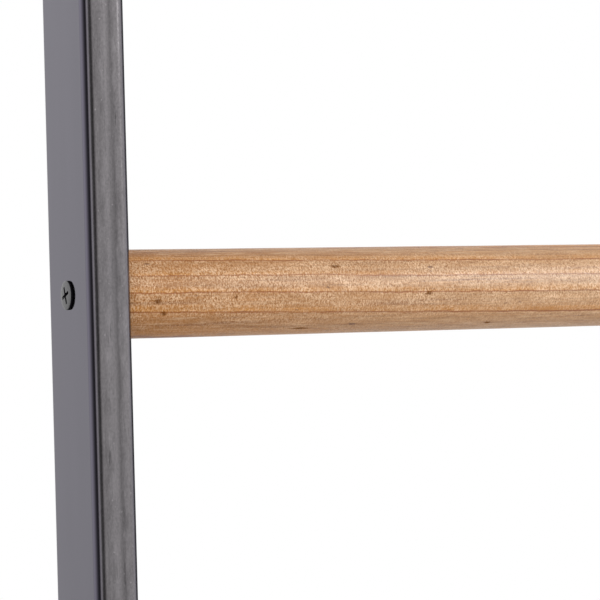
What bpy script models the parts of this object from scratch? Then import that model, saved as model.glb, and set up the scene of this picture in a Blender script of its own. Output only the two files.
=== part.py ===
"""Free-standing quilt rack: two rectangular steel tube uprights on floor runners, joined by round wooden rungs.

Metres, +Z up. X runs along the rungs, Y from the front (-Y) to the back, and the origin is on the floor,
at the middle of the rack. Run it with: blender --background --python part.py
"""

import math

import bmesh
import bpy
from mathutils import Matrix, Vector

# Overall sizes
WIDTH = 0.760  # between the outer side faces of the two uprights
HEIGHT = 0.910  # floor to the top of the uprights' caps
RUNNER_LENGTH = 0.380  # front to back, over the runners' end caps

# Rectangular steel tube: the narrow side faces the front on an upright, and lies upright on a runner
TUBE_NARROW = 0.01905
TUBE_BROAD = 0.0508
TUBE_WALL = 0.0016
TUBE_CORNER = 0.0045

# Rungs
RUNG_COUNT = 4
RUNG_DIAMETER = 0.0375
RUNG_EDGE = 0.0004
LOWEST_RUNG_HEIGHT = 0.200
TOP_MARGIN = 0.050  # from the highest rung's axis to the top of the rack

# Screws and threaded inserts
SCREW_DIAMETER = 0.006
SCREW_REACH = 0.021  # how far a screw goes into a rung
HEAD_DIAMETER = 0.0122
HEAD_HEIGHT = 0.0013
HEAD_RIM = 0.0009  # height of the head's upright edge, below its dome
DOME_STEPS = 5
DOME_FULLNESS = 0.7  # 1 is an ellipse, and less is fuller towards the rim
RECESS_SPAN = 0.0070
RECESS_WIDTH = 0.0013
RECESS_DEPTH = 0.0012
RECESS_TAPER = 0.62  # size of the recess at its bottom, as a share of its size at the top
RECESS_ANGLE = -54.0  # of the lowest screw on the left, in degrees from upright
SCREW_TURN_STEP = 37.0  # each further screw stopped this many degrees further round
INSERT_DIAMETER = 0.0100
INSERT_LENGTH = 0.018
TIP_CLEARANCE = 0.003  # free bore beyond the tip of a screw

# Welds, caps and glides
WELD_LEG = 0.0030
CAP_HEAD = 0.0025
CAP_EDGE = 0.0008
CAP_PLUG = 0.012
GLIDE_DIAMETER = 0.024
GLIDE_HEIGHT = 0.005
GLIDE_EDGE = 0.0010
GLIDE_STEM = 0.008
GLIDE_STEM_DEPTH = 0.006  # how far a stem goes into the runner, from its underside
GLIDE_INSET = 0.030  # from the end of the rack's foot to the middle of a glide

# Clearances
TOUCH_GAP = 0.0003  # between two pieces that touch
SCREW_CLEARANCE = 0.0003  # round a screw, in the tube's walls
PLUG_CLEARANCE = 0.0003  # round a cap's plug

# How finely the round shapes are divided
CORNER_STEPS = 5
RUNG_STEPS = 48
SMALL_STEPS = 24

# What follows from the sizes above
RUNNER_BOTTOM = GLIDE_HEIGHT + TOUCH_GAP
RUNNER_TOP = RUNNER_BOTTOM + TUBE_NARROW
UPRIGHT_BOTTOM = RUNNER_TOP + TOUCH_GAP
UPRIGHT_TOP = HEIGHT - CAP_HEAD - TOUCH_GAP
UPRIGHT_MIDDLE = WIDTH / 2 - TUBE_NARROW / 2
RUNG_HALF = WIDTH / 2 - TUBE_NARROW - TOUCH_GAP
RUNG_SPACING = (HEIGHT - TOP_MARGIN - LOWEST_RUNG_HEIGHT) / (RUNG_COUNT - 1)
RUNG_HEIGHTS = [LOWEST_RUNG_HEIGHT + i * RUNG_SPACING for i in range(RUNG_COUNT)]
BORE_DEPTH = SCREW_REACH + TIP_CLEARANCE
SIDES = {"left": -1, "right": 1}
ENDS = {"front": -1, "back": 1}

ALONG_X = Matrix.Rotation(math.pi / 2, 4, "Y")  # turns +Z to +X
ALONG_Y = Matrix.Rotation(-math.pi / 2, 4, "X")  # turns +Z to +Y


def clear_scene():
    """Removes every object, so that the file holds only the rack."""
    for old in list(bpy.data.objects):
        bpy.data.objects.remove(old)


def make_material(name, colour, roughness, metallic):
    """A plain Principled material."""
    material = bpy.data.materials.new(name)
    material.use_nodes = True
    shader = material.node_tree.nodes["Principled BSDF"]
    shader.inputs["Base Color"].default_value = (*colour, 1.0)
    shader.inputs["Roughness"].default_value = roughness
    shader.inputs["Metallic"].default_value = metallic
    return material


def add_object(name, bm, material, placement, smooth_angle=30.0):
    """Turns a bmesh into a named object that lies where the placement matrix says."""
    bmesh.ops.recalc_face_normals(bm, faces=bm.faces)
    mesh = bpy.data.meshes.new(name)
    bm.to_mesh(mesh)
    bm.free()
    mesh.shade_smooth()
    mesh.set_sharp_from_angle(angle=math.radians(smooth_angle))
    mesh.materials.append(material)
    piece = bpy.data.objects.new(name, mesh)
    piece.matrix_world = placement
    bpy.context.scene.collection.objects.link(piece)
    return piece


def add_cutter(name, bm, placement):
    """A hidden object that cuts others."""
    bmesh.ops.recalc_face_normals(bm, faces=bm.faces)
    mesh = bpy.data.meshes.new(name)
    bm.to_mesh(mesh)
    bm.free()
    cutter = bpy.data.objects.new(name, mesh)
    cutter.matrix_world = placement
    cutter.hide_render = True
    cutter.display_type = "WIRE"
    bpy.context.scene.collection.objects.link(cutter)
    return cutter


def cut(piece, cutter):
    """Takes the cutter's shape out of a piece."""
    boolean = piece.modifiers.new(cutter.name, "BOOLEAN")
    boolean.operation = "DIFFERENCE"
    boolean.solver = "EXACT"
    boolean.object = cutter


def add_drills(name, radius, reach, placements):
    """One cutter of several drills. Each reaches as far to both sides of its placement, along its Z."""
    bm = bmesh.new()
    half_step = Matrix.Rotation(math.pi / SMALL_STEPS, 4, "Z")
    for placement in placements:
        bmesh.ops.create_cone(
            bm,
            cap_ends=True,
            segments=SMALL_STEPS,
            radius1=radius,
            radius2=radius,
            depth=2 * reach,
            matrix=placement @ half_step,
        )
    return add_cutter(name, bm, Matrix.Identity(4))


def rounded_rectangle(size_x, size_y, radius):
    """Points round a rectangle with rounded corners, anticlockwise, centred on the origin."""
    radius = min(radius, size_x / 2 - TOUCH_GAP, size_y / 2 - TOUCH_GAP)
    corners = [
        (size_x / 2 - radius, size_y / 2 - radius, 0.0),
        (radius - size_x / 2, size_y / 2 - radius, 90.0),
        (radius - size_x / 2, radius - size_y / 2, 180.0),
        (size_x / 2 - radius, radius - size_y / 2, 270.0),
    ]
    points = []
    for x, y, start in corners:
        for step in range(CORNER_STEPS + 1):
            angle = math.radians(start + 90.0 * step / CORNER_STEPS)
            points.append((x + radius * math.cos(angle), y + radius * math.sin(angle)))
    return points


def add_loop(bm, outline, z):
    """Puts an outline's points into a bmesh at height z."""
    return [bm.verts.new((x, y, z)) for x, y in outline]


def join_loops(bm, lower, upper):
    """A band of faces between two loops with the same number of points."""
    count = len(lower)
    for i in range(count):
        following = (i + 1) % count
        bm.faces.new((lower[i], lower[following], upper[following], upper[i]))


def stacked_solid(layers):
    """A closed solid through a list of (outline, z), from the bottom to the top."""
    bm = bmesh.new()
    loops = [add_loop(bm, outline, z) for outline, z in layers]
    for lower, upper in zip(loops, loops[1:]):
        join_loops(bm, lower, upper)
    bm.faces.new(loops[0])
    bm.faces.new(loops[-1])
    return bm


def ring_solid(layers):
    """A closed ring through a list of (outline, z) that go round its section and back to the first."""
    bm = bmesh.new()
    loops = [add_loop(bm, outline, z) for outline, z in layers]
    for lower, upper in zip(loops, loops[1:] + loops[:1]):
        join_loops(bm, lower, upper)
    return bm


def circle(radius, steps):
    """Points round a circle."""
    angles = [math.tau * i / steps for i in range(steps)]
    return [(radius * math.cos(a), radius * math.sin(a)) for a in angles]


def turned_solid(profile, steps):
    """A solid turned about Z from a profile of (radius, z) that doesn't reach the axis, with flat ends."""
    return stacked_solid([(circle(radius, steps), z) for radius, z in profile])


def tube_solid(size_x, size_y, bottom, top):
    """A rectangular tube with rounded corners along Z, open at both ends."""
    outer = rounded_rectangle(size_x, size_y, TUBE_CORNER)
    inner_corner = max(TUBE_CORNER - TUBE_WALL, TUBE_WALL / 2)
    inner = rounded_rectangle(size_x - 2 * TUBE_WALL, size_y - 2 * TUBE_WALL, inner_corner)
    return ring_solid([(outer, bottom), (outer, top), (inner, top), (inner, bottom)])


def add_upright(side, material):
    """An upright tube, drilled through for the screw of each rung."""
    bm = tube_solid(TUBE_NARROW, TUBE_BROAD, UPRIGHT_BOTTOM, UPRIGHT_TOP)
    place = Matrix.Translation((SIDES[side] * UPRIGHT_MIDDLE, 0, 0))
    upright = add_object(f"{side}_upright", bm, material, place)
    reach = TUBE_NARROW / 2 + TUBE_WALL
    across = [Matrix.Translation((0, 0, height)) @ ALONG_X for height in RUNG_HEIGHTS]
    drills = add_drills(f"drills_{side}_upright", SCREW_DIAMETER / 2 + SCREW_CLEARANCE, reach, across)
    drills.matrix_world = place
    cut(upright, drills)
    return upright


def add_runner(side, material):
    """A floor runner: the tube laid on its broad side from front to back, drilled below for its glides."""
    half = RUNNER_LENGTH / 2 - CAP_HEAD - TOUCH_GAP
    bm = tube_solid(TUBE_BROAD, TUBE_NARROW, -half, half)
    middle_height = (RUNNER_BOTTOM + RUNNER_TOP) / 2
    place = Matrix.Translation((SIDES[side] * UPRIGHT_MIDDLE, 0, middle_height)) @ ALONG_Y
    runner = add_object(f"{side}_floor_runner", bm, material, place)
    stems = [Matrix.Translation((*glide_position(side, end), RUNNER_BOTTOM)) for end in ENDS]
    cut(runner, add_drills(f"drills_{side}_runner", GLIDE_STEM / 2 + PLUG_CLEARANCE, 2 * TUBE_WALL, stems))
    return runner


def glide_position(side, end):
    """Where a glide's middle is, seen from above."""
    return SIDES[side] * UPRIGHT_MIDDLE, ENDS[end] * (RUNNER_LENGTH / 2 - GLIDE_INSET)


def add_weld(side, material):
    """The fillet weld that runs round the foot of an upright, on top of its runner."""
    base = UPRIGHT_BOTTOM
    layers = []
    for spread, z in ((TOUCH_GAP, base), (WELD_LEG, base), (TOUCH_GAP, base + WELD_LEG)):
        size_x = TUBE_NARROW + 2 * spread
        size_y = TUBE_BROAD + 2 * spread
        layers.append((rounded_rectangle(size_x, size_y, TUBE_CORNER + spread), z))
    place = Matrix.Translation((SIDES[side] * UPRIGHT_MIDDLE, 0, 0))
    return add_object(f"{side}_weld_bead", ring_solid(layers), material, place)


def add_rung(number, height, material):
    """A round rung along X, with a blind bore for the threaded insert in each end."""
    radius = RUNG_DIAMETER / 2
    bore = INSERT_DIAMETER / 2 + TOUCH_GAP
    profile = [
        (bore, BORE_DEPTH - RUNG_HALF),
        (bore, -RUNG_HALF),
        (radius - RUNG_EDGE, -RUNG_HALF),
        (radius, RUNG_EDGE - RUNG_HALF),
        (radius, RUNG_HALF - RUNG_EDGE),
        (radius - RUNG_EDGE, RUNG_HALF),
        (bore, RUNG_HALF),
        (bore, RUNG_HALF - BORE_DEPTH),
    ]
    bm = turned_solid(profile, RUNG_STEPS)
    return add_object(f"rung_{number}", bm, material, Matrix.Translation((0, 0, height)) @ ALONG_X)


def facing_outwards(side, height, distance):
    """A placement whose +Z points out of the rack's side, at a distance from the middle of the rack."""
    turn = Matrix.Rotation(SIDES[side] * math.pi / 2, 4, "Y")
    return Matrix.Translation((SIDES[side] * distance, 0, height)) @ turn


def screw_profile():
    """(radius, z) of a low head screw from its tip to the top of its dome. z 0 is under the head."""
    length = TUBE_NARROW + SCREW_REACH
    head = HEAD_DIAMETER / 2
    shank = SCREW_DIAMETER / 2
    tip = shank / 4
    profile = [(shank - tip, -length), (shank, tip - length), (shank, TOUCH_GAP), (head, TOUCH_GAP)]
    for step in range(DOME_STEPS):
        angle = math.radians(90.0 * step / DOME_STEPS)
        rise = (HEAD_HEIGHT - HEAD_RIM) * math.sin(angle)
        profile.append((head * math.cos(angle) ** DOME_FULLNESS, TOUCH_GAP + HEAD_RIM + rise))
    return profile


def cross_solid():
    """The cross recess: a plus sign that gets smaller towards its bottom."""
    top = TOUCH_GAP + HEAD_HEIGHT
    layers = []
    for share, z in ((RECESS_TAPER, top - RECESS_DEPTH), (1.0, top + TOUCH_GAP)):
        arm = share * RECESS_SPAN / 2
        edge = share * RECESS_WIDTH / 2
        quarter = [(arm, -edge), (arm, edge), (edge, edge)]
        outline = []
        for turn in range(4):
            rotation = Matrix.Rotation(turn * math.pi / 2, 2)
            outline += [tuple(rotation @ Vector(point)) for point in quarter]
        layers.append((outline, z))
    return stacked_solid(layers)


def add_screw(side, number, height, turn, material):
    """A screw from the outer face of an upright through both its walls and into the rung's insert."""
    place = facing_outwards(side, height, WIDTH / 2)
    screw = add_object(
        f"screw_{side}_{number}", turned_solid(screw_profile(), SMALL_STEPS), material, place
    )
    turned = place @ Matrix.Rotation(math.radians(turn), 4, "Z")
    cut(screw, add_cutter(f"cross_{side}_{number}", cross_solid(), turned))
    return screw


def add_insert(side, number, height, material):
    """The threaded sleeve in the end of a rung, flush with the rung's end face."""
    outer = circle(INSERT_DIAMETER / 2, SMALL_STEPS)
    inner = circle(SCREW_DIAMETER / 2 + TOUCH_GAP, SMALL_STEPS)
    bm = ring_solid([(outer, -INSERT_LENGTH), (outer, 0), (inner, 0), (inner, -INSERT_LENGTH)])
    place = facing_outwards(side, height, RUNG_HALF)
    return add_object(f"threaded_insert_{side}_{number}", bm, material, place)


def cap_solid(size_x, size_y):
    """A tube's end cap along Z: z 0 is the end of the tube, the plug goes down and the head is on top."""
    plug_x = size_x - 2 * TUBE_WALL - 2 * PLUG_CLEARANCE
    plug_y = size_y - 2 * TUBE_WALL - 2 * PLUG_CLEARANCE
    plug_corner = max(TUBE_CORNER - TUBE_WALL, TUBE_WALL / 2)
    plug = rounded_rectangle(plug_x, plug_y, plug_corner)
    head = rounded_rectangle(size_x, size_y, TUBE_CORNER)
    top = rounded_rectangle(size_x - 2 * CAP_EDGE, size_y - 2 * CAP_EDGE, TUBE_CORNER)
    base = TOUCH_GAP
    layers = [
        (plug, -CAP_PLUG),
        (plug, base),
        (head, base),
        (head, base + CAP_HEAD - CAP_EDGE),
        (top, base + CAP_HEAD),
    ]
    return stacked_solid(layers)


def add_upright_cap(side, material):
    """The cap that closes the top of an upright."""
    place = Matrix.Translation((SIDES[side] * UPRIGHT_MIDDLE, 0, UPRIGHT_TOP))
    bm = cap_solid(TUBE_NARROW, TUBE_BROAD)
    return add_object(f"{side}_upright_cap", bm, material, place)


def add_runner_cap(side, end, material):
    """The cap that closes one end of a floor runner."""
    half = RUNNER_LENGTH / 2 - CAP_HEAD - TOUCH_GAP
    middle_height = (RUNNER_BOTTOM + RUNNER_TOP) / 2
    turn = Matrix.Rotation(-ENDS[end] * math.pi / 2, 4, "X")
    at = (SIDES[side] * UPRIGHT_MIDDLE, ENDS[end] * half, middle_height)
    bm = cap_solid(TUBE_BROAD, TUBE_NARROW)
    return add_object(f"{side}_{end}_runner_cap", bm, material, Matrix.Translation(at) @ turn)


def add_glide(side, end, material):
    """A round plastic glide with a stem that is pressed into the underside of a runner."""
    foot = GLIDE_DIAMETER / 2
    stem = GLIDE_STEM / 2
    profile = [
        (foot - GLIDE_EDGE, 0.0),
        (foot, GLIDE_EDGE),
        (foot, GLIDE_HEIGHT - GLIDE_EDGE),
        (foot - GLIDE_EDGE, GLIDE_HEIGHT),
        (stem, GLIDE_HEIGHT),
        (stem, RUNNER_BOTTOM + GLIDE_STEM_DEPTH),
    ]
    x, y = glide_position(side, end)
    bm = turned_solid(profile, SMALL_STEPS)
    return add_object(f"{side}_{end}_glide", bm, material, Matrix.Translation((x, y, 0)))


def build():
    """The whole rack."""
    clear_scene()
    steel = make_material("gunmetal_steel", (0.205, 0.190, 0.222), 0.45, 0.6)
    wood = make_material("natural_wood", (0.56, 0.34, 0.20), 0.6, 0.0)
    screw_metal = make_material("black_screw_steel", (0.09, 0.085, 0.095), 0.4, 0.9)
    brass = make_material("brass_insert", (0.70, 0.52, 0.25), 0.4, 1.0)
    plastic = make_material("black_plastic", (0.03, 0.03, 0.032), 0.5, 0.0)
    for side_index, side in enumerate(SIDES):
        add_upright(side, steel)
        add_runner(side, steel)
        add_weld(side, steel)
        add_upright_cap(side, plastic)
        for end in ENDS:
            add_runner_cap(side, end, plastic)
            add_glide(side, end, plastic)
        for index, height in enumerate(RUNG_HEIGHTS):
            turn = RECESS_ANGLE + SCREW_TURN_STEP * (index + RUNG_COUNT * side_index)
            add_screw(side, index + 1, height, turn, screw_metal)
            add_insert(side, index + 1, height, brass)
    for number, height in enumerate(RUNG_HEIGHTS, start=1):
        add_rung(number, height, wood)


build()
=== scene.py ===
"""Looks of the free-standing quilt rack: finer steel tubes, wooden rungs, screws, welds, caps and glides.

Metres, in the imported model's frame: X along the rungs, -Y to the front, +Z up, with the floor at z 0.
"""

import math

import bmesh
import bpy
from mathutils import Euler, Matrix, Vector, noise


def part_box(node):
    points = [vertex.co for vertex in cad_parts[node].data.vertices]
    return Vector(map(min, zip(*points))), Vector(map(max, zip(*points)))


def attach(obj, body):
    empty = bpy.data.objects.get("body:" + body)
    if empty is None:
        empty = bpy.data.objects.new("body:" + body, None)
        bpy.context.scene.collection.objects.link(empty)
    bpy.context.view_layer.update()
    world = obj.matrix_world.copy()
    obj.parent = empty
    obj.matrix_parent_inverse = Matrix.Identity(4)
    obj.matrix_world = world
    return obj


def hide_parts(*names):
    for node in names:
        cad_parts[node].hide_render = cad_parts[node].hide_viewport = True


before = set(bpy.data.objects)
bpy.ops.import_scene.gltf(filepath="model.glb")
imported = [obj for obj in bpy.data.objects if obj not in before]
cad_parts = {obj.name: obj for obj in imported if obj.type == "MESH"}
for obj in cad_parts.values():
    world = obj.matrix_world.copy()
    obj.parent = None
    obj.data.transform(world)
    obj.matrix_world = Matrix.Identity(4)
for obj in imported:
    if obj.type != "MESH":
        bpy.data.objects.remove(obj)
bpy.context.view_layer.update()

SIDES = {"left": -1, "right": 1}
ENDS = {"front": -1, "back": 1}
RUNGS = range(1, 5)
SEEN_RUNG = 3

# How closely two pieces that touch are drawn, and the gap that the CAD leaves between them
SEAT = 0.00002
CAD_GAP = 0.0003

# Points round a whole turned piece, a tube's corner, a moulded edge and a screw's dome
TURNED_STEPS = 72
CORNER_STEPS = 14
EDGE_STEPS = 6
DOME_STEPS = 16

# Tubes
TUBE_CORNER = 0.0045
TUBE_WALL = 0.0016
TUBE_END_EASE = 0.0002
DRILL_CLEARANCE = 0.0003

# Tones across a tube's narrow face, as (distance from its middle, tone), with the seam as the darkest
STREAK_SPAN = 0.020
STREAK_TONES = [
    (-0.0052, 0.80),
    (-0.0032, 0.84),
    (-0.0014, 0.99),
    (-0.0004, 1.00),
    (0.0008, 0.87),
    (0.0024, 0.62),
    (0.0036, 0.80),
    (0.0048, 0.94),
    (0.0060, 0.92),
]

# Weld: its section as shares of the leg, outwards and upwards, how much of the leg the valleys between
# ripples keep, how round the ripples are, and how much and how quickly the leg wanders
WELD_LEG = 0.0030
WELD_PITCH = 0.0021
WELD_STATIONS = 420
WELD_SECTION = [
    (0.0, 0.0),
    (1.0, 0.0),
    (0.93, 0.22),
    (0.74, 0.50),
    (0.50, 0.74),
    (0.22, 0.93),
    (0.0, 1.0),
]
WELD_VALLEY = 0.86
WELD_ROUNDNESS = 0.6
WELD_WANDER = 0.07
WELD_WANDER_PER_STATION = 0.045

# Rungs
RUNG_RADIUS = 0.01875
RUNG_STEPS = 144
RUNG_STATIONS = 180
RUNG_EDGE = 0.0003
RUNG_LIP = RUNG_EDGE * 0.3
RUNG_DENT = 0.00005
DENTS_PER_METRE = 30.0
DENTS_ROUND = 2.0
BORE_BEYOND_INSERT = 0.006

# Wood: the year rings' spacing at the axis, where the one nearest to it lies in spacings, how much tighter
# they get per metre upwards, and how the grain sweeps up towards both ends of the seen rung
RING_SPACING = 0.0076
RING_START = -0.400
RING_CROWDING = 9.1
GRAIN_SWEEP = 0.0245

# The steps of the pattern's seed and of its rings' turn, in radians, from one rung to the next, and how far
# a seed of 1 moves the pattern
WOOD_SEED_STEP = 0.31
WOOD_TURN_STEP = 0.9
WOOD_SHIFT = 1.7

# Small dark knots, as (x, z, length, height) from the middle of the seen rung
KNOTS = [
    (-0.3474, -0.0035, 0.0022, 0.0016),
    (-0.3441, -0.0086, 0.0016, 0.0013),
    (-0.3118, -0.0024, 0.0012, 0.0007),
    (-0.2780, -0.0162, 0.0060, 0.0005),
    (-0.2637, 0.0099, 0.0030, 0.0009),
    (-0.2196, -0.0023, 0.0022, 0.0011),
    (-0.1860, -0.0158, 0.0026, 0.0006),
]

# Screws. The tip and the dome's flat top are shares of their radius, and the recess's core and narrowing of
# its width. The angle is the seen screw's, and each next one has turned a step further
HEAD_DIAMETER = 0.0122
HEAD_HEIGHT = 0.0013
HEAD_RIM = 0.0009
HEAD_EASE = 0.0001
HEAD_EDGE = 0.0002
DOME_FULLNESS = 0.62
DOME_TOP = 0.10
SHANK_DIAMETER = 0.006
SHANK_TIP = 0.7
RECESS_SPAN = 0.0076
RECESS_WIDTH = 0.0014
RECESS_DEPTH = 0.0020
RECESS_OVERRUN = 0.0003
RECESS_NARROWING = 0.45
RECESS_CORE = 1.35
RECESS_ANGLE = 20.0
SCREW_TURN_STEP = 37.0

# Caps: the plug's play in the tube, the head's round edge, and its crown as (inset, rise) above the edge
PLUG_PLAY = 0.0006
CAP_EASE = 0.0001
CAP_EDGE = 0.0010
CAP_CROWN = 0.0004
CAP_CROWN_STEPS = [(0.0022, 0.0001), (0.0038, 0.00023), (0.0060, 0.00034), (0.0080, 0.0004)]
CAP_LEAST_CORNER = 0.0006

# Glides
GLIDE_EDGE = 0.0012
GLIDE_EASE = 0.0004
GLIDE_PEG_RADIUS = 0.004

# Camera, from the joint of the seen rung with the left upright's outer face
CAMERA_FROM_JOINT = Vector((-0.36532, -0.98732, -0.01669))
CAMERA_YAW = 25.5564
CAMERA_PITCH = 0.6662
CAMERA_ROLL = -1.5393
CAMERA_LENS = 151.289
CAMERA_SENSOR = 36.0

# Studio: its floor, and the brightness above and below its walls
FLOOR_RADIUS = 3.2
FLOOR_STEPS = 96
FLOOR_DROP = 0.0002
OVERHEAD_LIGHT = 0.85
LIGHT_FROM_BELOW = 0.42

# The studio's walls, as (degrees, brightness) from the front, by the left, the back (0) and the right,
# to the front again, and how much brighter they get upwards
STUDIO_WALLS = [
    (-180, 0.45),
    (-172, 0.10),
    (-160, 0.18),
    (-150, 0.30),
    (-144, 1.08),
    (-131, 1.12),
    (-126, 0.34),
    (-120, 0.08),
    (-109, 0.12),
    (-98, 0.26),
    (-85, 0.66),
    (-71, 1.14),
    (-52, 1.42),
    (-40, 1.20),
    (-30, 0.90),
    (6, 0.90),
    (34, 0.90),
    (44, 0.12),
    (74, 0.12),
    (88, 1.00),
    (106, 1.20),
    (120, 1.05),
    (158, 0.95),
    (170, 0.80),
    (180, 0.45),
]
STUDIO_RISE = 0.60


# ---------------------------------------------------------------- mesh helpers


def rounded_rectangle(size_x, size_y, radius):
    """Points round a rectangle with rounded corners, anticlockwise, centred on the origin."""
    corners = [
        (size_x / 2 - radius, size_y / 2 - radius, 0.0),
        (radius - size_x / 2, size_y / 2 - radius, 90.0),
        (radius - size_x / 2, radius - size_y / 2, 180.0),
        (size_x / 2 - radius, radius - size_y / 2, 270.0),
    ]
    points = []
    for x, y, start in corners:
        for step in range(CORNER_STEPS + 1):
            angle = math.radians(start + 90.0 * step / CORNER_STEPS)
            points.append((x + radius * math.cos(angle), y + radius * math.sin(angle)))
    return points


def circle(radius):
    """Points round a circle."""
    angles = [math.tau * i / TURNED_STEPS for i in range(TURNED_STEPS)]
    return [(radius * math.cos(a), radius * math.sin(a)) for a in angles]


def join_loops(bm, lower, upper):
    """A band of faces between two loops with the same number of points."""
    count = len(lower)
    for i in range(count):
        following = (i + 1) % count
        bm.faces.new((lower[i], lower[following], upper[following], upper[i]))


def add_loops(bm, layers):
    """The loops of a list of (outline, z)."""
    return [[bm.verts.new((x, y, z)) for x, y in outline] for outline, z in layers]


def stacked_solid(layers):
    """A closed solid through a list of (outline, z), from the bottom to the top."""
    bm = bmesh.new()
    loops = add_loops(bm, layers)
    for lower, upper in zip(loops, loops[1:]):
        join_loops(bm, lower, upper)
    bm.faces.new(loops[0])
    bm.faces.new(loops[-1])
    return bm


def ring_solid(layers):
    """A closed ring through a list of (outline, z) that go round its section and back to the first."""
    bm = bmesh.new()
    loops = add_loops(bm, layers)
    for lower, upper in zip(loops, loops[1:] + loops[:1]):
        join_loops(bm, lower, upper)
    return bm


def turned_solid(profile):
    """A solid turned about Z from a profile of (radius, z)."""
    return stacked_solid([(circle(radius), z) for radius, z in profile])


def mesh_object(name, bm, placement, smooth_angle=35.0):
    """A named object from a bmesh."""
    bmesh.ops.recalc_face_normals(bm, faces=bm.faces)
    mesh = bpy.data.meshes.new(name)
    bm.to_mesh(mesh)
    bm.free()
    mesh.shade_smooth()
    mesh.set_sharp_from_angle(angle=math.radians(smooth_angle))
    made = bpy.data.objects.new(name, mesh)
    made.matrix_world = placement
    bpy.context.scene.collection.objects.link(made)
    return made


def even_normals(piece):
    """Keeps flat faces flat in the shading next to rounded edges."""
    weighted = piece.modifiers.new("even_normals", "WEIGHTED_NORMAL")
    weighted.mode = "FACE_AREA"
    weighted.keep_sharp = True


def bake_modifiers(piece):
    """Turns a piece's modifiers into its mesh."""
    bpy.context.view_layer.update()
    evaluated = piece.evaluated_get(bpy.context.evaluated_depsgraph_get())
    baked = bpy.data.meshes.new_from_object(evaluated)
    piece.modifiers.clear()
    piece.data = baked
    return piece


def cut(piece, bm, placement):
    """Takes a shape out of a piece."""
    cutter = mesh_object(f"{piece.name}_cutter", bm, placement)
    boolean = piece.modifiers.new("cut", "BOOLEAN")
    boolean.operation = "DIFFERENCE"
    boolean.solver = "EXACT"
    boolean.object = cutter
    bake_modifiers(piece)
    bpy.data.objects.remove(cutter)
    return piece


def finish_piece(piece, material, slot, *nodes):
    """Gives a piece its material, and lets it ride and stand for its CAD nodes."""
    piece.data.materials.clear()
    piece.data.materials.append(material)
    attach(piece, "root")
    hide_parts(*nodes)
    return piece


def middle(node_name):
    """The middle of a CAD node's box."""
    low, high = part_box(node_name)
    return (low + high) / 2


def facing_outwards(side, at):
    """A placement whose +Z points out of the rack's side."""
    turn = Matrix.Rotation(SIDES[side] * math.pi / 2, 4, "Y")
    return Matrix.Translation(at) @ turn


# ---------------------------------------------------------------- material helpers


def new_material(name):
    """An empty material with its Principled shader, as (material, tree, shader)."""
    material = bpy.data.materials.new(name)
    material.use_nodes = True
    tree = material.node_tree
    return material, tree, tree.nodes["Principled BSDF"]


def node(tree, kind, inputs=None, **settings):
    """A node with its settings and inputs. An input is a value or another node's socket."""
    made = tree.nodes.new(kind)
    for key, value in settings.items():
        setattr(made, key, value)
    for key, value in (inputs or {}).items():
        if isinstance(value, bpy.types.NodeSocket):
            tree.links.new(value, made.inputs[key])
        else:
            made.inputs[key].default_value = value
    return made


def object_coordinates(tree):
    """Where a point lies on its own piece."""
    return node(tree, "ShaderNodeTexCoord").outputs["Object"]


def math_node(tree, operation, first, second=0.0, third=0.0, clamp=False):
    """The result of a Math node."""
    inputs = {0: first, 1: second, 2: third}
    return node(tree, "ShaderNodeMath", inputs, operation=operation, use_clamp=clamp).outputs[0]


def add(tree, *values):
    """The sum of two or more values."""
    total = values[0]
    for value in values[1:]:
        total = math_node(tree, "ADD", total, value)
    return total


def multiply(tree, first, second):
    """One value times another."""
    return math_node(tree, "MULTIPLY", first, second)


def multiply_add(tree, value, factor, plus, clamp=False):
    """A value times a factor, plus another value."""
    return math_node(tree, "MULTIPLY_ADD", value, factor, plus, clamp)


def swing(tree, value, amount):
    """A value from 0 to 1 as one that swings about 0 over the amount."""
    return multiply_add(tree, value, amount, -amount / 2)


def vector_length(tree, vector):
    """The length of a vector."""
    return node(tree, "ShaderNodeVectorMath", {0: vector}, operation="LENGTH").outputs["Value"]


def scaled_colour(tree, colour, amount):
    """A colour times a value, as its vector socket."""
    inputs = {0: colour, "Scale": amount}
    return node(tree, "ShaderNodeVectorMath", inputs, operation="SCALE").outputs[0]


def stretched_noise(tree, coordinates, scale, detail=2.0, roughness=0.5):
    """Noise whose three scales are in cycles to the metre."""
    mapping = node(tree, "ShaderNodeMapping", {"Vector": coordinates, "Scale": scale})
    inputs = {
        "Vector": mapping.outputs[0],
        "Scale": 1.0,
        "Detail": detail,
        "Roughness": roughness,
    }
    return node(tree, "ShaderNodeTexNoise", inputs).outputs["Fac"]


def grey(value):
    """A grey colour."""
    return (value, value, value)


def ramp(tree, factor, *stops):
    """A grey ramp through (position, value) stops, as its colour socket."""
    made = node(tree, "ShaderNodeValToRGB", {"Fac": factor})
    elements = made.color_ramp.elements
    while len(elements) < len(stops):
        elements.new(1.0)
    for element, (position, value) in zip(elements, stops):
        element.position = position
        element.color = (*grey(value), 1.0)
    return made.outputs["Color"]


def mix_colour(tree, factor, first, second):
    """A colour mix, as its colour socket."""
    made = node(tree, "ShaderNodeMix", data_type="RGBA")
    for index, value in ((0, factor), (6, first), (7, second)):
        if isinstance(value, bpy.types.NodeSocket):
            tree.links.new(value, made.inputs[index])
        else:
            made.inputs[index].default_value = value if index == 0 else (*value, 1.0)
    return made.outputs[2]


def bump(tree, height, distance, strength):
    """A bump, as its normal socket."""
    inputs = {"Height": height, "Distance": distance, "Strength": strength}
    return node(tree, "ShaderNodeBump", inputs).outputs["Normal"]


def connect(tree, shader, colour, roughness, normal):
    """Links the three sockets that every material of the rack sets."""
    tree.links.new(colour, shader.inputs["Base Color"])
    tree.links.new(roughness, shader.inputs["Roughness"])
    tree.links.new(normal, shader.inputs["Normal"])


# ---------------------------------------------------------------- materials


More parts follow.
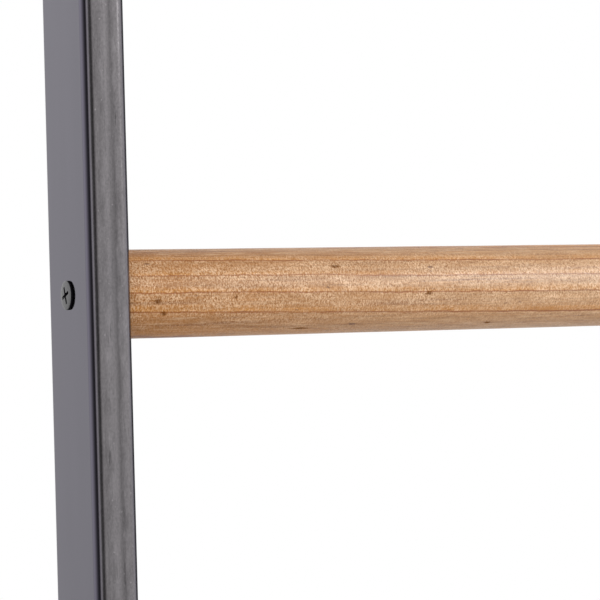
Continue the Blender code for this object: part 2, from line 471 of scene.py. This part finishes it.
def steel_material():
    """Satin gunmetal tube: smooth broad faces, and mottled narrow faces with a darker seam streak."""
    material, tree, shader = new_material("gunmetal_steel")
    coordinates = node(tree, "ShaderNodeTexCoord")
    local = coordinates.outputs["Object"]
    place = node(tree, "ShaderNodeSeparateXYZ", {"Vector": local})
    facing = node(tree, "ShaderNodeSeparateXYZ", {"Vector": coordinates.outputs["Normal"]})
    steep = multiply(tree, math_node(tree, "ABSOLUTE", facing.outputs["Y"]), 4.0)
    narrow = math_node(tree, "SUBTRACT", steep, 2.9, clamp=True)

    grain = stretched_noise(tree, local, (1300, 1300, 700), detail=3.0, roughness=0.65)
    patches = stretched_noise(tree, local, (420, 420, 110), detail=2.0, roughness=0.6)
    streaks = stretched_noise(tree, local, (620, 620, 9), detail=2.0, roughness=0.5)
    faint = stretched_noise(tree, local, (90, 90, 12), detail=2.0, roughness=0.5)
    specks = stretched_noise(tree, local, (700, 700, 620), detail=1.0, roughness=0.4)
    scratches = stretched_noise(tree, local, (900, 900, 60), detail=1.0, roughness=0.4)

    # The seam streak, which wanders a little
    across = add(tree, place.outputs["X"], swing(tree, patches, 0.0030))
    across = multiply_add(tree, across, 1 / STREAK_SPAN, 0.5)
    streak = ramp(tree, across, *[(0.5 + x / STREAK_SPAN, tone) for x, tone in STREAK_TONES])
    streak = node(tree, "ShaderNodeSeparateColor", {"Color": streak}).outputs[0]

    # The narrow faces' mottle, over the whole tube's faint clouds
    mottle = add(tree, swing(tree, grain, 0.75), swing(tree, patches, 0.55), swing(tree, streaks, 0.45))
    pale = ramp(tree, specks, (0.74, 0.0), (0.80, 0.55))
    scratch = ramp(tree, scratches, (0.24, 0.35), (0.30, 0.0))
    mottle = math_node(tree, "SUBTRACT", add(tree, mottle, pale), scratch)
    mottle = multiply(tree, add(tree, mottle, 1.0), streak)
    mottle = multiply(tree, math_node(tree, "SUBTRACT", mottle, 1.0), narrow)
    shade = add(tree, mottle, swing(tree, faint, 0.12), 1.0)

    colour = mix_colour(tree, narrow, (0.113, 0.105, 0.135), (0.226, 0.213, 0.222))
    rough_grain = multiply(tree, grain, narrow)
    roughness = multiply_add(tree, rough_grain, 0.10, 0.11)
    normal = bump(tree, add(tree, rough_grain, faint), distance=0.00002, strength=0.35)
    connect(tree, shader, scaled_colour(tree, colour, shade), roughness, normal)
    shader.inputs["Metallic"].default_value = 1.0
    return material


def knot_marks(tree, moved, rough):
    """How much each point belongs to one of the small dark knots, from 0 to 1."""
    nearest = None
    for x, z, size_x, size_z in KNOTS:
        away = node(tree, "ShaderNodeVectorMath", {0: moved, 1: (x, 0, z)}, operation="SUBTRACT")
        scale = {0: away.outputs[0], 1: (1 / size_x, 0, 1 / size_z)}
        away = node(tree, "ShaderNodeVectorMath", scale, operation="MULTIPLY")
        away = vector_length(tree, away.outputs[0])
        nearest = away if nearest is None else math_node(tree, "MINIMUM", nearest, away)
    ragged = add(tree, nearest, swing(tree, rough, 1.6))
    return ramp(tree, ragged, (0.35, 0.75), (1.0, 0.0))


def year_rings(tree, moved, place):
    """Each year ring's brown late wood and its thin dark line, from 0 to 1, both patchy."""
    bend = stretched_noise(tree, moved, (5, 22, 22), detail=1.0, roughness=0.45)
    waver = stretched_noise(tree, moved, (40, 90, 90), detail=2.0, roughness=0.5)
    jitter = stretched_noise(tree, moved, (220, 300, 300), detail=2.0, roughness=0.6)
    crowded = multiply_add(tree, place.outputs["Z"], RING_CROWDING, 1.0)
    crowded = multiply(tree, crowded, place.outputs["Z"])
    along = multiply(tree, place.outputs["X"], place.outputs["X"])
    drift = multiply_add(tree, along, -GRAIN_SWEEP, crowded)
    ring = multiply_add(tree, drift, 1 / RING_SPACING, -RING_START)
    ring = add(tree, ring, swing(tree, bend, 0.30), swing(tree, waver, 0.16), swing(tree, jitter, 0.09))
    year = math_node(tree, "FRACT", ring)
    late_wood = ramp(tree, year, (0.0, 0.95), (0.14, 0.80), (0.38, 0.0), (0.93, 0.0), (1.0, 0.90))
    line = ramp(tree, year, (0.0, 0.85), (0.045, 0.0), (0.940, 0.0), (0.980, 0.85), (1.0, 0.85))
    patchy = stretched_noise(tree, moved, (34, 130, 130), detail=3.0, roughness=0.65)
    late_wood = multiply(tree, late_wood, multiply_add(tree, patchy, 2.2, -0.30, clamp=True))
    line = multiply(tree, line, multiply_add(tree, patchy, 2.4, -0.35, clamp=True))
    return late_wood, line


def wood_material(name, seed, turn):
    """Clear-coated pine, grain along local X. seed moves the pattern, and turn tilts its year rings."""
    material, tree, shader = new_material(name)
    mapping = {
        "Vector": object_coordinates(tree),
        "Location": (seed * WOOD_SHIFT, 0, 0),
        "Rotation": (turn, 0, 0),
    }
    moved = node(tree, "ShaderNodeMapping", mapping).outputs[0]
    place = node(tree, "ShaderNodeSeparateXYZ", {"Vector": moved})
    late_wood, line = year_rings(tree, moved, place)

    fibre = stretched_noise(tree, moved, (22, 1100, 1100), detail=3.0, roughness=0.6)
    fine_fibre = stretched_noise(tree, moved, (90, 2400, 2400), detail=2.0, roughness=0.5)
    speckle = stretched_noise(tree, moved, (1500, 1150, 1150), detail=4.0, roughness=0.78)
    short_stroke_noise = stretched_noise(tree, moved, (2100, 650, 650), detail=1.0, roughness=0.5)
    strokes = stretched_noise(tree, moved, (1500, 500, 500), detail=2.0, roughness=0.6)
    blotches = stretched_noise(tree, moved, (16, 90, 90), detail=3.0, roughness=0.55)
    streaks = stretched_noise(tree, moved, (11, 520, 520), detail=3.0, roughness=0.65)
    flecks = stretched_noise(tree, moved, (140, 380, 380), detail=1.0, roughness=0.4)
    glint_patches = stretched_noise(tree, moved, (55, 210, 210), detail=3.0, roughness=0.6)
    slivers = stretched_noise(tree, moved, (70, 760, 760), detail=3.0, roughness=0.65)

    # Painted glints: pale specks and short strokes, in patches, over the middle and upper part of the
    # rung's height, where its sheen lies. Pits show most in that band too
    height_share = multiply_add(tree, place.outputs["Z"], 0.5 / RUNG_RADIUS, 0.5)
    sheen_band = ramp(tree, height_share, (0.08, 0.35), (0.28, 0.65), (0.42, 1.0), (0.80, 1.0), (0.93, 0.25))
    painted_glint_area = multiply(tree, sheen_band, ramp(tree, glint_patches, (0.36, 0.35), (0.62, 1.0)))
    painted_glint = multiply(tree, ramp(tree, speckle, (0.46, 0.0), (0.64, 0.90)), painted_glint_area)
    painted_glint_streak = multiply(tree, ramp(tree, short_stroke_noise, (0.50, 0.0), (0.66, 0.75)), painted_glint_area)
    pit = multiply(tree, ramp(tree, speckle, (0.34, 0.85), (0.48, 0.0)), sheen_band)

    # Towards the top and bottom, where the surface runs along the year rings, it shows long dark and pale
    # slivers instead
    along_rings = math_node(tree, "SUBTRACT", 1.05, sheen_band, clamp=True)
    dark_sliver = multiply(tree, ramp(tree, slivers, (0.28, 1.0), (0.46, 0.0)), along_rings)
    pale_sliver = multiply(tree, ramp(tree, slivers, (0.52, 0.0), (0.70, 0.8)), along_rings)

    # Painted shade: the seen rung's ends are painted darker and browner than its middle, for the shade next
    # to the uprights and their weaker sheen. The pattern of the other rungs is moved along, which makes
    # them browner over most or all of their length
    from_middle = math_node(tree, "ABSOLUTE", place.outputs["X"])
    painted_end_shade = ramp(tree, from_middle, (0.17, 0.0), (0.28, 0.45), (0.37, 1.0))
    dark_streak = ramp(tree, streaks, (0.30, 0.75), (0.46, 0.0))
    fleck = ramp(tree, flecks, (0.75, 0.0), (0.80, 0.75))
    knot = knot_marks(tree, moved, speckle)

    colour = mix_colour(tree, blotches, (0.372, 0.180, 0.063), (0.468, 0.260, 0.117))
    layers = [
        # painted end shade: a darker, browner tone towards the rung's ends
        (painted_end_shade, (0.325, 0.128, 0.026)),
        (dark_streak, (0.200, 0.076, 0.022)),
        (dark_sliver, (0.190, 0.068, 0.018)),
        (pale_sliver, (0.640, 0.430, 0.260)),
        (late_wood, (0.450, 0.180, 0.024)),
        # painted glints: pale specks and strokes in the rung's sheen band
        (painted_glint, (0.780, 0.540, 0.350)),
        (painted_glint_streak, (0.700, 0.470, 0.290)),
        (pit, (0.200, 0.078, 0.020)),
        (line, (0.215, 0.058, 0.012)),
        (fleck, (0.130, 0.052, 0.022)),
        (knot, (0.110, 0.036, 0.010)),
    ]
    for share, tone in layers:
        colour = mix_colour(tree, share, colour, tone)
    tint = multiply_add(tree, fibre, 0.64, 0.48)
    tint = add(tree, tint, multiply(tree, fine_fibre, 0.18), multiply(tree, strokes, 0.26))
    colour = scaled_colour(tree, colour, tint)

    height = add(tree, speckle, multiply(tree, fibre, 0.5), multiply(tree, strokes, 0.5))
    height = math_node(tree, "SUBTRACT", height, multiply(tree, line, 0.2))
    roughness = multiply_add(tree, blotches, 0.12, 0.31)
    connect(tree, shader, colour, roughness, bump(tree, height, distance=0.00016, strength=0.9))

    # The painted end shade and the knots shine less
    shine_with_painted_shade = math_node(tree, "SUBTRACT", multiply_add(tree, painted_end_shade, -0.45, 0.62), knot, clamp=True)
    tree.links.new(shine_with_painted_shade, shader.inputs["Specular IOR Level"])
    return material


def screw_material():
    """Black lacquered steel with a shiny top, and a rim whose shine is cut away as painted shade."""
    material, tree, shader = new_material("screw_steel")
    coordinates = node(tree, "ShaderNodeTexCoord")
    local = coordinates.outputs["Object"]
    facing = node(tree, "ShaderNodeSeparateXYZ", {"Vector": coordinates.outputs["Normal"]})
    specks = stretched_noise(tree, local, (1400, 1400, 1400), detail=3.0, roughness=0.6)
    worn = stretched_noise(tree, local, (350, 350, 350), detail=2.0, roughness=0.5)
    colour = mix_colour(tree, worn, (0.007, 0.006, 0.008), (0.017, 0.015, 0.020))
    roughness = multiply_add(tree, specks, 0.12, 0.18)
    connect(tree, shader, colour, roughness, bump(tree, specks, distance=0.00002, strength=0.4))
    # Painted shade: the shine falls away from the top towards the rim, so the rim reads dark as if shaded
    shine_with_painted_shade = multiply_add(tree, facing.outputs["Z"], 0.80, 0.05, clamp=True)
    tree.links.new(shine_with_painted_shade, shader.inputs["Specular IOR Level"])
    return material


def plastic_material():
    """Matt black moulded plastic with a fine grain."""
    material, tree, shader = new_material("black_plastic")
    local = object_coordinates(tree)
    grain = stretched_noise(tree, local, (1300, 1300, 1300), detail=2.0, roughness=0.5)
    scuffs = stretched_noise(tree, local, (160, 160, 160), detail=3.0, roughness=0.6)
    colour = mix_colour(tree, scuffs, (0.010, 0.010, 0.011), (0.022, 0.022, 0.024))
    roughness = multiply_add(tree, scuffs, 0.2, 0.42)
    connect(tree, shader, colour, roughness, bump(tree, grain, distance=0.00005, strength=0.5))
    return material


def brass_material():
    """Turned brass with fine machining lines."""
    material, tree, shader = new_material("brass_insert")
    local = object_coordinates(tree)
    lines = stretched_noise(tree, local, (3000, 200, 200), detail=2.0, roughness=0.5)
    colour = mix_colour(tree, lines, (0.62, 0.43, 0.18), (0.80, 0.60, 0.30))
    roughness = multiply_add(tree, lines, 0.15, 0.28)
    connect(tree, shader, colour, roughness, bump(tree, lines, distance=0.00003, strength=0.4))
    shader.inputs["Metallic"].default_value = 1.0
    return material


# ---------------------------------------------------------------- pieces


def tube_piece(name, size_x, size_y, length, placement):
    """A rectangular tube about its own middle, along local Z, with fine round corners and eased ends."""
    ease = TUBE_END_EASE
    outer = rounded_rectangle(size_x, size_y, TUBE_CORNER)
    eased = rounded_rectangle(size_x - 2 * ease, size_y - 2 * ease, TUBE_CORNER - ease)
    inner_x = size_x - 2 * TUBE_WALL
    inner_y = size_y - 2 * TUBE_WALL
    inner = rounded_rectangle(inner_x, inner_y, TUBE_CORNER - TUBE_WALL)
    half = length / 2
    layers = [
        (eased, -half),
        (outer, ease - half),
        (outer, half - ease),
        (eased, half),
        (inner, half),
        (inner, -half),
    ]
    return mesh_object(name, ring_solid(layers), placement)


def build_uprights(material):
    """The two uprights, bored through for the screws."""
    drill_radius = SHANK_DIAMETER / 2 + DRILL_CLEARANCE
    for side in SIDES:
        low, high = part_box(f"{side}_upright")
        size = high - low
        centre = (low + high) / 2
        place = Matrix.Translation(centre)
        piece = tube_piece(f"upright_tube_{side}", size.x, size.y, size.z, place)
        drills = bmesh.new()
        for number in RUNGS:
            axis = middle(f"rung_{number}")
            at = Matrix.Translation((centre.x, axis.y, axis.z))
            bmesh.ops.create_cone(
                drills,
                cap_ends=True,
                segments=TURNED_STEPS // 2,
                radius1=drill_radius,
                radius2=drill_radius,
                depth=2 * size.x,
                matrix=at @ Matrix.Rotation(math.pi / 2, 4, "Y"),
            )
        cut(piece, drills, Matrix.Identity(4))
        even_normals(piece)
        finish_piece(piece, material, "gunmetal_steel", f"{side}_upright")


def build_runners(material):
    """The two floor runners."""
    for side in SIDES:
        low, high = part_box(f"{side}_floor_runner")
        size = high - low
        turn = Matrix.Rotation(-math.pi / 2, 4, "X") @ Matrix.Rotation(math.pi / 2, 4, "Z")
        place = Matrix.Translation((low + high) / 2) @ turn
        piece = tube_piece(f"runner_tube_{side}", size.z, size.x, size.y, place)
        even_normals(piece)
        finish_piece(piece, material, "gunmetal_steel", f"{side}_floor_runner")


def even_path(size_x, size_y, radius, stations):
    """Evenly spaced (point, outward direction) round a rounded rectangle, and the way's length."""
    flat_x = size_x - 2 * radius
    flat_y = size_y - 2 * radius
    arc = radius * math.pi / 2
    corners = [(1, 1), (-1, 1), (-1, -1), (1, -1)]
    total = 2 * flat_x + 2 * flat_y + 4 * arc
    path = []
    for i in range(stations):
        along = total * i / stations
        for index, (sign_x, sign_y) in enumerate(corners):
            start = math.pi / 2 * index
            centre = Vector((sign_x * flat_x / 2, sign_y * flat_y / 2))
            flat = flat_x if index % 2 == 0 else flat_y
            if along < arc:
                angle = start + along / radius
                out = Vector((math.cos(angle), math.sin(angle)))
                path.append((centre + out * radius, out))
                break
            along -= arc
            if along < flat:
                angle = start + math.pi / 2
                out = Vector((math.cos(angle), math.sin(angle)))
                forward = Vector((-out.y, out.x))
                path.append((centre + out * radius + forward * along, out))
                break
            along -= flat
    return path, total


def weld_leg(station, ripples, seed):
    """The weld's leg at a station, rippled and slightly uneven."""
    phase = (ripples * station / WELD_STATIONS) % 1.0
    swell = WELD_VALLEY + (1 - WELD_VALLEY) * math.sin(math.pi * phase) ** WELD_ROUNDNESS
    spot = Vector((station * WELD_WANDER_PER_STATION, seed, 0.0))
    return WELD_LEG * swell * (1.0 + WELD_WANDER * noise.noise(spot))


def build_welds(material):
    """The rippled fillet weld round the foot of each upright."""
    for side, sign in SIDES.items():
        weld_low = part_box(f"{side}_weld_bead")[0]
        upright_low, upright_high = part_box(f"{side}_upright")
        size = upright_high - upright_low
        base = weld_low.z - CAD_GAP + SEAT
        path, total = even_path(size.x, size.y, TUBE_CORNER, WELD_STATIONS)
        ripples = round(total / WELD_PITCH)
        legs = [weld_leg(i, ripples, sign * 5.0) for i in range(WELD_STATIONS)]
        bm = bmesh.new()
        loops = []
        for reach, rise in WELD_SECTION:
            loop = []
            for leg, (point, out) in zip(legs, path):
                spot = point + out * (SEAT + reach * leg)
                loop.append(bm.verts.new((spot.x, spot.y, base + rise * leg)))
            loops.append(loop)
        for lower, upper in zip(loops, loops[1:] + loops[:1]):
            join_loops(bm, lower, upper)
        place = Matrix.Translation((middle(f"{side}_upright").x, 0, 0))
        piece = mesh_object(f"weld_fillet_{side}", bm, place, smooth_angle=60.0)
        finish_piece(piece, material, "gunmetal_steel", f"{side}_weld_bead")


def wood_dent(x, angle, number):
    """How far the rung's surface lies from a true cylinder, in metres."""
    apart = 7.0 * number
    across = DENTS_ROUND * math.cos(angle)
    spot = Vector((x * DENTS_PER_METRE, across, DENTS_ROUND * math.sin(angle) + apart))
    return RUNG_DENT * noise.noise(spot)


def rung_sections(half, radius, bore, bore_bottom):
    """(x, radius, whether outside) from the bottom of one bore, over the rung, to that of the other."""
    sections = [
        (-bore_bottom, bore, False),
        (-half, bore, False),
        (-half, radius - RUNG_EDGE, True),
        (RUNG_LIP - half, radius - RUNG_LIP, True),
    ]
    for i in range(RUNG_STATIONS + 1):
        x = (half - RUNG_EDGE) * (2 * i / RUNG_STATIONS - 1)
        sections.append((x, radius, True))
    sections += [
        (half - RUNG_LIP, radius - RUNG_LIP, True),
        (half, radius - RUNG_EDGE, True),
        (half, bore, False),
        (bore_bottom, bore, False),
    ]
    return sections


def build_rungs(materials):
    """The wooden rungs: turned rods with eased ends, bored for the inserts."""
    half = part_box("right_upright")[0].x - SEAT
    for number in RUNGS:
        low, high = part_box(f"rung_{number}")
        radius = (high.z - low.z) / 2
        insert_low, insert_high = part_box(f"threaded_insert_right_{number}")
        bore = (insert_high.z - insert_low.z) / 2 + SEAT
        bore_bottom = insert_low.x - BORE_BEYOND_INSERT
        bm = bmesh.new()
        rows = []
        for x, section_radius, outside in rung_sections(half, radius, bore, bore_bottom):
            row = []
            for i in range(RUNG_STEPS):
                angle = math.tau * i / RUNG_STEPS
                here = section_radius + (wood_dent(x, angle, number) if outside else 0.0)
                row.append(bm.verts.new((x, here * math.cos(angle), here * math.sin(angle))))
            rows.append(row)
        for lower, upper in zip(rows, rows[1:]):
            join_loops(bm, lower, upper)
        bm.faces.new(rows[0])
        bm.faces.new(rows[-1])
        piece = mesh_object(f"rung_dowel_{number}", bm, Matrix.Translation((low + high) / 2))
        finish_piece(piece, materials[number], "natural_wood", f"rung_{number}")


def recess_solid():
    """The cross recess: four tapered wings round a tapered core, as the shape to cut out of a head."""
    top = HEAD_HEIGHT
    sections = [
        (0.42, top - RECESS_DEPTH),
        (0.72, top - RECESS_DEPTH * 0.55),
        (1.0, top),
        (1.05, top + RECESS_OVERRUN),
    ]
    layers = []
    for share, z in sections:
        arm = share * RECESS_SPAN / 2
        edge = (1 - RECESS_NARROWING + RECESS_NARROWING * share) * RECESS_WIDTH / 2
        fillet = edge * RECESS_CORE
        quarter = [(arm, -edge), (arm, edge), (fillet, edge), (edge, fillet)]
        outline = []
        for turn in range(4):
            rotation = Matrix.Rotation(turn * math.pi / 2, 2)
            outline += [tuple(rotation @ Vector(point)) for point in quarter]
        layers.append((outline, z))
    return stacked_solid(layers)


def screw_profile(length):
    """(radius, z) of the screw from its tip to the top of its dome, with z 0 under the head."""
    head = HEAD_DIAMETER / 2
    shank = SHANK_DIAMETER / 2
    profile = [
        (shank * SHANK_TIP, -length),
        (shank, shank * (1 - SHANK_TIP) - length),
        (shank, SEAT),
        (head - HEAD_EASE, SEAT),
        (head, HEAD_EDGE),
        (head, HEAD_RIM - HEAD_EDGE),
    ]
    for step in range(1, DOME_STEPS):
        angle = math.radians(90.0 * step / DOME_STEPS)
        rise = (HEAD_HEIGHT - HEAD_RIM) * math.sin(angle)
        profile.append((head * math.cos(angle) ** DOME_FULLNESS, HEAD_RIM + rise))
    profile.append((head * DOME_TOP, HEAD_HEIGHT))
    return profile


def build_screws(material):
    """The low head screws, each stopped at its own angle."""
    for side_index, side in enumerate(SIDES):
        face = max(abs(corner.x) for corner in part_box(f"{side}_upright"))
        for number in RUNGS:
            node_name = f"screw_{side}_{number}"
            low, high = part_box(node_name)
            length = face - min(abs(low.x), abs(high.x))
            axis = middle(node_name)
            place = facing_outwards(side, (SIDES[side] * face, axis.y, axis.z))
            steps_on = number - SEEN_RUNG + len(RUNGS) * side_index
            turn = math.radians(RECESS_ANGLE + SCREW_TURN_STEP * steps_on)
            body = turned_solid(screw_profile(length))
            piece = mesh_object(f"pan_head_screw_{side}_{number}", body, place, smooth_angle=40.0)
            cut(piece, recess_solid(), place @ Matrix.Rotation(turn, 4, "Z"))
            piece.data.set_sharp_from_angle(angle=math.radians(32.0))
            finish_piece(piece, material, "screw_steel", node_name)


def cap_layers(size_x, size_y, plug_depth, head_height):
    """The outline stack of a cap: a plain plug below z 0, and a head with a rounded, crowned top."""

    def outline(inset, corner):
        return rounded_rectangle(size_x - 2 * inset, size_y - 2 * inset, corner)

    plug = outline(TUBE_WALL + PLUG_PLAY / 2, TUBE_CORNER - TUBE_WALL)
    layers = [
        (plug, -plug_depth),
        (plug, SEAT),
        (outline(CAP_EASE, TUBE_CORNER - CAP_EASE), SEAT),
        (outline(0.0, TUBE_CORNER), SEAT + CAP_EASE),
    ]
    edge_top = head_height - CAP_CROWN
    for step in range(EDGE_STEPS + 1):
        angle = math.radians(90.0 * step / EDGE_STEPS)
        inset = CAP_EDGE * (1 - math.cos(angle))
        z = edge_top - CAP_EDGE + CAP_EDGE * math.sin(angle)
        layers.append((outline(inset, TUBE_CORNER - inset), z))
    for inset, rise in CAP_CROWN_STEPS:
        corner = max(TUBE_CORNER - inset, CAP_LEAST_CORNER)
        layers.append((outline(inset, corner), edge_top + rise))
    return layers


def build_caps(material):
    """The caps in the tops of the uprights and the ends of the runners."""
    for side in SIDES:
        node_name = f"{side}_upright_cap"
        low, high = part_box(node_name)
        tube_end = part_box(f"{side}_upright")[1].z
        layers = cap_layers(high.x - low.x, high.y - low.y, tube_end - low.z, high.z - tube_end)
        place = Matrix.Translation((middle(node_name).x, 0, tube_end))
        piece = mesh_object(f"upright_end_cap_{side}", stacked_solid(layers), place)
        finish_piece(piece, material, "black_plastic", node_name)
        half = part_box(f"{side}_floor_runner")[1].y
        for end, sign in ENDS.items():
            node_name = f"{side}_{end}_runner_cap"
            low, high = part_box(node_name)
            inside, outside = sorted((abs(low.y), abs(high.y)))
            layers = cap_layers(high.x - low.x, high.z - low.z, half - inside, outside - half)
            turn = Matrix.Rotation(-sign * math.pi / 2, 4, "X")
            centre = middle(node_name)
            place = Matrix.Translation((centre.x, sign * half, centre.z)) @ turn
            piece = mesh_object(f"runner_end_cap_{side}_{end}", stacked_solid(layers), place)
            finish_piece(piece, material, "black_plastic", node_name)


def build_glides(material):
    """The round glides under the runners."""
    for side in SIDES:
        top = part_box(f"{side}_floor_runner")[0].z - SEAT
        for end in ENDS:
            node_name = f"{side}_{end}_glide"
            low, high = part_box(node_name)
            foot = (high.x - low.x) / 2
            profile = [(foot - 2 * GLIDE_EDGE, 0.0)]
            for step in range(EDGE_STEPS + 1):
                angle = math.radians(90.0 * step / EDGE_STEPS)
                radius = foot - GLIDE_EDGE + GLIDE_EDGE * math.sin(angle)
                profile.append((radius, GLIDE_EDGE * (1 - math.cos(angle))))
            profile += [
                (foot, top - GLIDE_EASE),
                (foot - GLIDE_EASE, top),
                (GLIDE_PEG_RADIUS, top),
                (GLIDE_PEG_RADIUS, high.z),
            ]
            centre = middle(node_name)
            place = Matrix.Translation((centre.x, centre.y, 0))
            piece = mesh_object(f"round_glide_{side}_{end}", turned_solid(profile), place)
            finish_piece(piece, material, "black_plastic", node_name)


def dress_inserts(material):
    """The threaded inserts keep their CAD shape and get turned brass."""
    for side in SIDES:
        for number in RUNGS:
            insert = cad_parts[f"threaded_insert_{side}_{number}"]
            insert.data.materials.clear()
            insert.data.materials.append(material)


# ---------------------------------------------------------------- studio


def build_floor():
    """A pale round floor whose rim fades into the background."""
    bm = bmesh.new()
    bmesh.ops.create_circle(bm, cap_ends=True, segments=FLOOR_STEPS, radius=FLOOR_RADIUS)
    floor = mesh_object("studio_floor", bm, Matrix.Translation((0, 0, -FLOOR_DROP)))
    material, tree, shader = new_material("pale_floor")
    local = object_coordinates(tree)
    outwards = math_node(tree, "DIVIDE", vector_length(tree, local), FLOOR_RADIUS)
    fade = ramp(tree, outwards, (0.35, 1.0), (0.98, 0.0))
    mottle = stretched_noise(tree, local, (3, 3, 3))
    tree.links.new(mix_colour(tree, mottle, grey(0.80), grey(0.83)), shader.inputs["Base Color"])
    tree.links.new(fade, shader.inputs["Alpha"])
    shader.inputs["Roughness"].default_value = 0.6
    floor.data.materials.append(material)


def build_world():
    """A soft studio of pale walls and dark flags, which the camera itself sees as plain white."""
    world = bpy.data.worlds.new("studio")
    bpy.context.scene.world = world
    world.use_nodes = True
    tree = world.node_tree
    tree.nodes.clear()
    direction = node(tree, "ShaderNodeTexCoord").outputs["Generated"]
    axes = node(tree, "ShaderNodeSeparateXYZ", {"Vector": direction})
    azimuth = math_node(tree, "ARCTAN2", axes.outputs["X"], axes.outputs["Y"])
    turn = multiply_add(tree, azimuth, 1 / math.tau, 0.5)
    walls = ramp(tree, turn, *[((angle + 180) / 360, value) for angle, value in STUDIO_WALLS])
    walls = scaled_colour(tree, walls, multiply_add(tree, axes.outputs["Z"], STUDIO_RISE, 1.0))
    up = multiply_add(tree, axes.outputs["Z"], 0.5, 0.5)
    overhead = ramp(tree, up, (0.0, 0.0), (0.62, 0.0), (0.80, 1.0), (1.0, 1.0))
    below = ramp(tree, up, (0.0, 1.0), (0.25, 1.0), (0.42, 0.0), (1.0, 0.0))
    sky = mix_colour(tree, overhead, walls, grey(OVERHEAD_LIGHT))
    sky = mix_colour(tree, below, sky, grey(LIGHT_FROM_BELOW))
    lit = node(tree, "ShaderNodeBackground", {"Color": sky, "Strength": 1.0})
    seen = node(tree, "ShaderNodeBackground", {"Color": (1.0, 1.0, 1.0, 1.0), "Strength": 1.0})
    is_seen = node(tree, "ShaderNodeLightPath").outputs["Is Camera Ray"]
    mix = node(tree, "ShaderNodeMixShader", {0: is_seen, 1: lit.outputs[0], 2: seen.outputs[0]})
    node(tree, "ShaderNodeOutputWorld", {"Surface": mix.outputs[0]})


def add_area_light(name, at, target, size, power):
    """A square soft light that points from one place to another."""
    light = bpy.data.lights.new(name, "AREA")
    light.shape = "SQUARE"
    light.size = size
    light.energy = power
    made = bpy.data.objects.new(name, light)
    made.location = at
    made.rotation_mode = "QUATERNION"
    made.rotation_quaternion = (Vector(target) - Vector(at)).to_track_quat("-Z", "Y")
    bpy.context.scene.collection.objects.link(made)


def build_camera():
    """A long lens at the left front, just below the seen rung and aimed a little right of its joint."""
    data = bpy.data.cameras.new("camera")
    data.sensor_width = CAMERA_SENSOR
    data.lens = CAMERA_LENS
    data.clip_start = 0.01
    data.clip_end = 100.0
    camera = bpy.data.objects.new("camera", data)
    joint = Vector((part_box("left_upright")[0].x, 0, middle(f"rung_{SEEN_RUNG}").z))
    aim = Euler((math.radians(90 + CAMERA_PITCH), 0, math.radians(-CAMERA_YAW)), "XYZ").to_matrix()
    roll = Matrix.Rotation(math.radians(CAMERA_ROLL), 3, "Z")
    camera.matrix_world = Matrix.Translation(joint + CAMERA_FROM_JOINT) @ (aim @ roll).to_4x4()
    bpy.context.scene.collection.objects.link(camera)
    bpy.context.scene.camera = camera


def main():
    """Builds the rack's looks and its studio."""
    steel = steel_material()
    plastic = plastic_material()
    woods = {}
    for number in RUNGS:
        steps_on = number - SEEN_RUNG
        seed = WOOD_SEED_STEP * steps_on
        woods[number] = wood_material(f"pine_{number}", seed, WOOD_TURN_STEP * steps_on)
    build_uprights(steel)
    build_runners(steel)
    build_welds(steel)
    build_rungs(woods)
    build_screws(screw_material())
    build_caps(plastic)
    build_glides(plastic)
    dress_inserts(brass_material())
    build_floor()
    build_world()
    add_area_light("key", at=(1.3, -1.8, 1.6), target=(-0.25, 0, 0.64), size=0.5, power=37.0)
    build_camera()
    bpy.context.scene.view_settings.view_transform = "Standard"


main()
